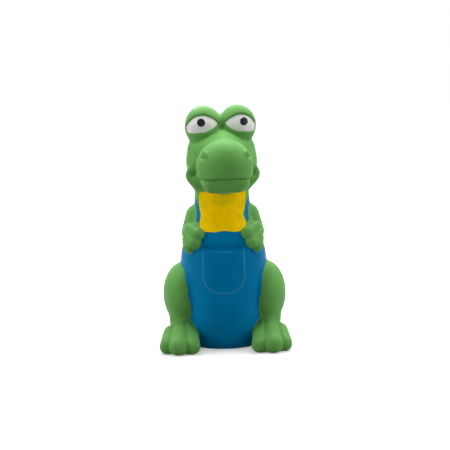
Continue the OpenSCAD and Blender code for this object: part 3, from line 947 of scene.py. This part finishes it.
class Nodes:
    """The node tree of a material or of the world while it is put together."""

    def __init__(self, owner):
        owner.use_nodes = True
        self.tree = owner.node_tree
        self.tree.nodes.clear()

    def node(self, kind, settings=None, sockets=None, out=0):
        made = self.tree.nodes.new("ShaderNode" + kind)
        for key, value in (settings or {}).items():
            setattr(made, key, value)
        for key, value in (sockets or {}).items():
            self.feed(made.inputs[key], value)
        return Value(self, made.outputs[out]) if made.outputs else None

    def feed(self, socket, value):
        if isinstance(value, Value):
            self.tree.links.new(value.socket, socket)
        else:
            socket.default_value = value


class Finish(Nodes):
    """One material while its nodes are put together."""

    def __init__(self, name, roughness, **constants):
        self.material = bpy.data.materials.new(name)
        super().__init__(self.material)
        surface = self.node("BsdfPrincipled")
        self.shader = surface.socket.node
        self.node("OutputMaterial", None, {"Surface": surface})
        self.set("Roughness", roughness)
        for key, value in constants.items():
            self.set(key.replace("_", " "), value)
        self.place = self.node("TexCoord", out="Object")

    def set(self, name, value):
        self.feed(self.shader.inputs[name], value)

    def noise(self, size, detail=3.0, roughness=0.5, stretch=(1, 1, 1)):
        """Cloudy noise with patches about this many millimetres across."""
        at = self.node("Mapping", None, {"Vector": self.place, "Scale": stretch})
        return self.node("TexNoise", None, {"Vector": at, "Scale": 1 / (size * MM),
                                            "Detail": detail, "Roughness": roughness})

    def between(self, value, low, high):
        """0 below low, 1 above high, smooth between."""
        return self.node("MapRange", {"interpolation_type": "SMOOTHSTEP"},
                         {"Value": value, "From Min": low, "From Max": high})

    def mix(self, share, a, b):
        """Colour a where the share is 0 and b where it is 1."""
        return self.node("Mix", {"data_type": "RGBA"}, {0: share, 6: a, 7: b}, out=2)

    def bumps(self, height, depth, strength):
        """Relief of this height, in shares of a depth in millimetres."""
        self.set("Normal", self.node("Bump", None, {"Height": height, "Distance": depth * MM,
                                                    "Strength": strength}))

    def mark(self, name):
        """The numbers that mark_points wrote under this name."""
        return self.node("Attribute", {"attribute_name": name}, out="Fac")


def rgba(rgb, gain=1.0):
    """A colour for a socket, made lighter or darker by the gain."""
    return tuple(min(c * gain, 1) for c in rgb) + (1,)


def shades():
    return bpy.context.scene.toy_colours


def latex():
    """Matt dyed latex: cloudy in colour, faintly pitted by the mould."""
    f = Finish("Dyed latex", 0.58, Specular_IOR_Level=0.14, Subsurface_Weight=0.12,
               Subsurface_Radius=(0.6, 1.0, 0.4), Subsurface_Scale=0.0012, Sheen_Weight=0.1,
               Sheen_Roughness=0.35, Sheen_Tint=(0.55, 1.0, 0.45, 1))
    base = shades().latex
    cloud = f.between(f.noise(22, 4, 0.55), 0.38, 0.64)
    streak = f.between(f.noise(9, 3, 0.5, (1, 1, 0.45)), 0.55, 0.75)
    tone = f.mix(cloud, rgba(base, 0.93), rgba(base, 1.08))
    f.set("Base Color", f.mix(streak * 0.35, tone, (0.12, 0.40, 0.045, 1)))
    f.set("Roughness", 0.53 + 0.1 * f.noise(6, 4))
    f.bumps(f.noise(1.1, 5, 0.6) * 0.6 + f.noise(0.35, 2) * 0.4, 0.06, 0.55)
    return f.material


def blue_paint():
    """Satin paint, brushed on: lighter on the pocket's ridge, where it is scuffed and a highlight is
    painted on.
    """
    f = Finish("Blue latex paint", 0.5, Specular_IOR_Level=0.1, Specular_Tint=(0.0, 0.4, 0.8, 1))
    base = shades().overalls
    cloud = f.between(f.noise(16, 4, 0.6, (1, 1, 0.7)), 0.35, 0.66)
    tone = f.mix(cloud, rgba(base, 0.92), rgba(base, 1.07))
    # lighter along the pocket's ridge: scuffed paint and a painted highlight
    scuff_and_highlight = f.mark("ridge_scuff_and_highlight") * 0.55
    f.set("Base Color", f.mix(scuff_and_highlight, tone, (0.05, 0.26, 0.44, 1)))
    f.set("Roughness", 0.44 + 0.14 * f.noise(5, 4))
    brush = f.noise(1.3, 4, 0.6, (1, 1, 0.25))
    f.bumps(brush * 0.6 + f.noise(0.5, 3) * 0.3, 0.07, 0.5)
    return f.material


def yellow_paint():
    """Satin paint, laid on thinly in spots where the green below shows through, with a band of
    painted shade under the chin.
    """
    f = Finish("Yellow latex paint", 0.48, Specular_IOR_Level=0.1, Specular_Tint=(1, 0.8, 0.0, 1))
    base = shades().shirt
    cloud = f.between(f.noise(7, 4, 0.6, (1, 1, 0.6)), 0.40, 0.72)
    tone = f.mix(cloud, rgba(base), (0.80, 0.52, 0.0, 1))
    # olive where the paint is laid on thinly, and in a band of painted shade under the chin
    thin = f.between(f.noise(4.5, 3, 0.6), 0.62, 0.78) * 0.25 + f.mark("thin")
    f.set("Base Color", f.mix(thin * 0.8, tone, (0.36, 0.33, 0.015, 1)))
    f.set("Roughness", 0.42 + 0.14 * f.noise(4, 4))
    f.bumps(f.noise(1.4, 4, 0.6, (1, 1, 0.3)) * 0.6 + f.noise(0.5, 3) * 0.3, 0.07, 0.5)
    return f.material


def eye_white():
    f = Finish("White latex paint", 0.42, Specular_IOR_Level=0.45)
    base = shades().white
    f.set("Base Color", f.mix(f.between(f.noise(5, 3), 0.4, 0.7), rgba(base), rgba(base, 0.94)))
    f.set("Roughness", 0.38 + 0.12 * f.noise(3, 3))
    f.bumps(f.noise(1.2, 4), 0.05, 0.4)
    return f.material


def pupil_black():
    f = Finish("Black latex paint", 0.5, Specular_IOR_Level=0.15)
    base = shades().pupil
    f.set("Base Color", f.mix(f.noise(1.5, 3), rgba(base), rgba(base, 1.5)))
    f.set("Roughness", 0.34 + 0.1 * f.noise(1.5, 3))
    f.bumps(f.noise(0.9, 3), 0.04, 0.4)
    return f.material


def fibre():
    """Loose curly fibre, teased into clumps."""
    f = Finish("Polyester wadding", 0.95, Specular_IOR_Level=0.2, Sheen_Weight=0.3)
    clump = f.between(f.noise(4, 5, 0.65), 0.35, 0.68)
    f.set("Base Color", f.mix(clump, (0.62, 0.61, 0.57, 1), (0.86, 0.855, 0.83, 1)))
    strands = f.noise(0.9, 6, 0.75, (1, 1, 3.5)) + f.noise(0.9, 6, 0.75, (3.5, 1, 1))
    f.bumps(strands * 0.5 + clump * 0.5, 0.6, 0.9)
    return f.material


def patch_latex():
    """Sheet latex with the smear of glue that holds it."""
    f = Finish("Patch latex", 0.6, Specular_IOR_Level=0.4)
    base = shades().latex
    cloud = f.between(f.noise(6, 4), 0.4, 0.65)
    f.set("Base Color", f.mix(cloud, rgba(base, 0.86), rgba(base, 0.98)))
    f.set("Roughness", 0.5 + 0.25 * f.noise(3, 4))
    f.bumps(f.noise(0.6, 4), 0.05, 0.6)
    return f.material


def milky():
    """Blown soft polyethylene, waxy and a little see-through."""
    f = Finish("Milky polyethylene", 0.34, Specular_IOR_Level=0.5, Subsurface_Weight=0.3,
               Subsurface_Radius=(1, 1, 1), Subsurface_Scale=0.002)
    f.set("Base Color", f.mix(f.noise(8, 3), (0.70, 0.72, 0.73, 1), (0.78, 0.79, 0.80, 1)))
    f.set("Roughness", 0.28 + 0.14 * f.noise(2.5, 3))
    f.bumps(f.noise(0.8, 4), 0.03, 0.4)
    return f.material


def moulded():
    """Hard moulded plastic of the reed's holder."""
    f = Finish("Moulded reed plastic", 0.3, Specular_IOR_Level=0.5)
    f.set("Base Color", f.mix(f.noise(3, 3), (0.78, 0.76, 0.68, 1), (0.83, 0.81, 0.74, 1)))
    f.set("Roughness", 0.25 + 0.12 * f.noise(1.5, 3))
    f.bumps(f.noise(0.4, 4), 0.015, 0.4)
    return f.material


def film():
    """Stiff amber film of the reed."""
    f = Finish("Reed film", 0.18, Specular_IOR_Level=0.5)
    f.set("Base Color", f.mix(f.noise(2, 2), (0.62, 0.40, 0.12, 1), (0.72, 0.48, 0.17, 1)))
    f.set("Roughness", 0.15 + 0.08 * f.noise(1, 3))
    f.bumps(f.noise(0.3, 3), 0.005, 0.3)
    return f.material


class FinishSqueaker(bpy.types.Operator):
    """Give the squeaker's parts and the base patch their materials"""
    bl_idname = "latex_toy.squeaker"
    bl_label = "Squeaker"

    def execute(self, context):
        finishes = (
            (patch_latex(), ("base_patch",)),
            (milky(), ("bulb_crown", "bulb_bellows", "bulb_neck")),
            (moulded(), ("reed_sleeve", "reed_seat", "reed_wedge")),
            (film(), ("reed_tongue",)),
        )
        for material, nodes in finishes:
            for node in nodes:
                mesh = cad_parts[node].data
                mesh.materials.clear()
                mesh.materials.append(material)
        return {"FINISHED"}


class SoftenToy(bpy.types.Operator):
    """Give the latex, its coats of paint, the eyes and the wadding each a mesh of its own"""
    bl_idname = "latex_toy.soften"
    bl_label = "Soften"

    def execute(self, context):
        for name in SOFT_PIECES:
            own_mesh(bpy.data.objects[name])
        return {"FINISHED"}


# ---- stage

def lamp(name, at, width, height, watts):
    """A soft lamp, turned to the toy."""
    bpy.ops.object.light_add(type="AREA", location=at)
    obj = bpy.context.object
    obj.name = name
    obj.rotation_euler = (Vector(LIT_PLACE) - Vector(at)).to_track_quat("-Z", "Y").to_euler()
    obj.data.shape, obj.data.size, obj.data.size_y = "RECTANGLE", width, height
    obj.data.energy = watts


def seen(nodes):
    """1 for what the camera sees, itself or in gloss, and 0 for light that reaches the toy."""
    camera, glossy, through = (nodes.node("LightPath", out=f"Is {ray} Ray")
                               for ray in ("Camera", "Glossy", "Transmission"))
    return nodes.node("Math", {"operation": "MINIMUM"}, {0: camera + glossy + through, 1: 1.0})


def grey(level):
    """A colour without hue, for a socket."""
    return (level, level, level, 1)


def paper():
    """White sweep: it keeps the toy's shadow, and turns pure white away from it."""
    f = Finish("White sweep", 0.9, Specular_IOR_Level=0.1, Emission_Strength=1.0)
    dull = f.mix(f.noise(30, 2), grey(0.34), grey(0.36))
    f.set("Base Color", f.mix(seen(f), dull, grey(0.86)))
    distance = f.node("VectorMath", {"operation": "LENGTH"}, {0: f.place}, out="Value")
    glow = f.mix(f.between(distance, 0.07, 0.6), grey(0.3), grey(1))
    f.set("Emission Color", f.mix(seen(f), grey(0), glow))
    return f.material


def studio_air():
    """Even light from all round, seen as white."""
    world = bpy.data.worlds.new("Studio")
    nodes = Nodes(world)
    dim = nodes.node("Background", None, {"Color": grey(1), "Strength": AIR})
    white = nodes.node("Background", None, {"Color": grey(1), "Strength": 1.0})
    nodes.node("OutputWorld", None,
               {"Surface": nodes.node("MixShader", None, {0: seen(nodes), 1: dim, 2: white})})
    return world


def camera_at(stage):
    """The camera, at its distance from the point it aims at, turned a little about its own axis."""
    bpy.ops.object.camera_add()
    camera = bpy.context.object
    camera.name = "Camera"
    turn = Matrix.Rotation(stage.azimuth, 3, "Z") @ Matrix.Rotation(-stage.elevation, 3, "X")
    target = Vector(AIM)
    camera.location = target + turn @ Vector((0, -stage.distance, 0))
    facing = (target - camera.location).to_track_quat("-Z", "Y").to_matrix()
    camera.rotation_euler = (facing @ Matrix.Rotation(-stage.roll, 3, "Z")).to_euler()
    camera.data.lens = camera.data.sensor_width * stage.distance / VIEW_WIDTH
    return camera


class SetStage(bpy.types.Operator):
    """Set the floor, the soft light and the camera"""
    bl_idname = "latex_toy.stage"
    bl_label = "Stage"

    def execute(self, context):
        bpy.ops.mesh.primitive_plane_add(size=6, location=(0, 0, 0))
        floor = bpy.context.object
        floor.name = "Floor"
        floor.data.materials.append(paper())
        for row in LAMPS:
            lamp(*row)
        scene = context.scene
        scene.world = studio_air()
        scene.camera = camera_at(scene.toy_stage)
        scene.view_settings.view_transform = "Standard"
        return {"FINISHED"}


class LatexToyPanel(bpy.types.Panel):
    """Sizes, colours and steps of the toy"""
    bl_idname = "VIEW3D_PT_latex_toy"
    bl_label = "Latex toy"
    bl_space_type = "VIEW_3D"
    bl_region_type = "UI"
    bl_category = "Latex toy"

    def draw(self, context):
        for name, cls in GROUPS.items():
            for key in cls.__annotations__:
                self.layout.prop(getattr(context.scene, name), key)
        for step in STEPS:
            self.layout.operator(step.bl_idname)


GROUPS = {"toy_sizes": ToySizes, "toy_colours": ToyColours, "toy_stage": ToyStage}
STEPS = (ModelSkin, ModelEyes, ModelWadding, FinishSqueaker, SoftenToy, SetStage)


def register():
    for cls in (*GROUPS.values(), *STEPS, LatexToyPanel):
        bpy.utils.register_class(cls)
    for name, cls in GROUPS.items():
        setattr(bpy.types.Scene, name, PointerProperty(type=cls))


def unregister():
    for name in GROUPS:
        delattr(bpy.types.Scene, name)
    for cls in (LatexToyPanel, *reversed(STEPS), *reversed(GROUPS.values())):
        bpy.utils.unregister_class(cls)


def main():
    """Models and finishes the toy."""
    register()
    for step in STEPS:
        group, name = step.bl_idname.split(".")
        getattr(getattr(bpy.ops, group), name)()


if __name__ == "__main__":
    main()
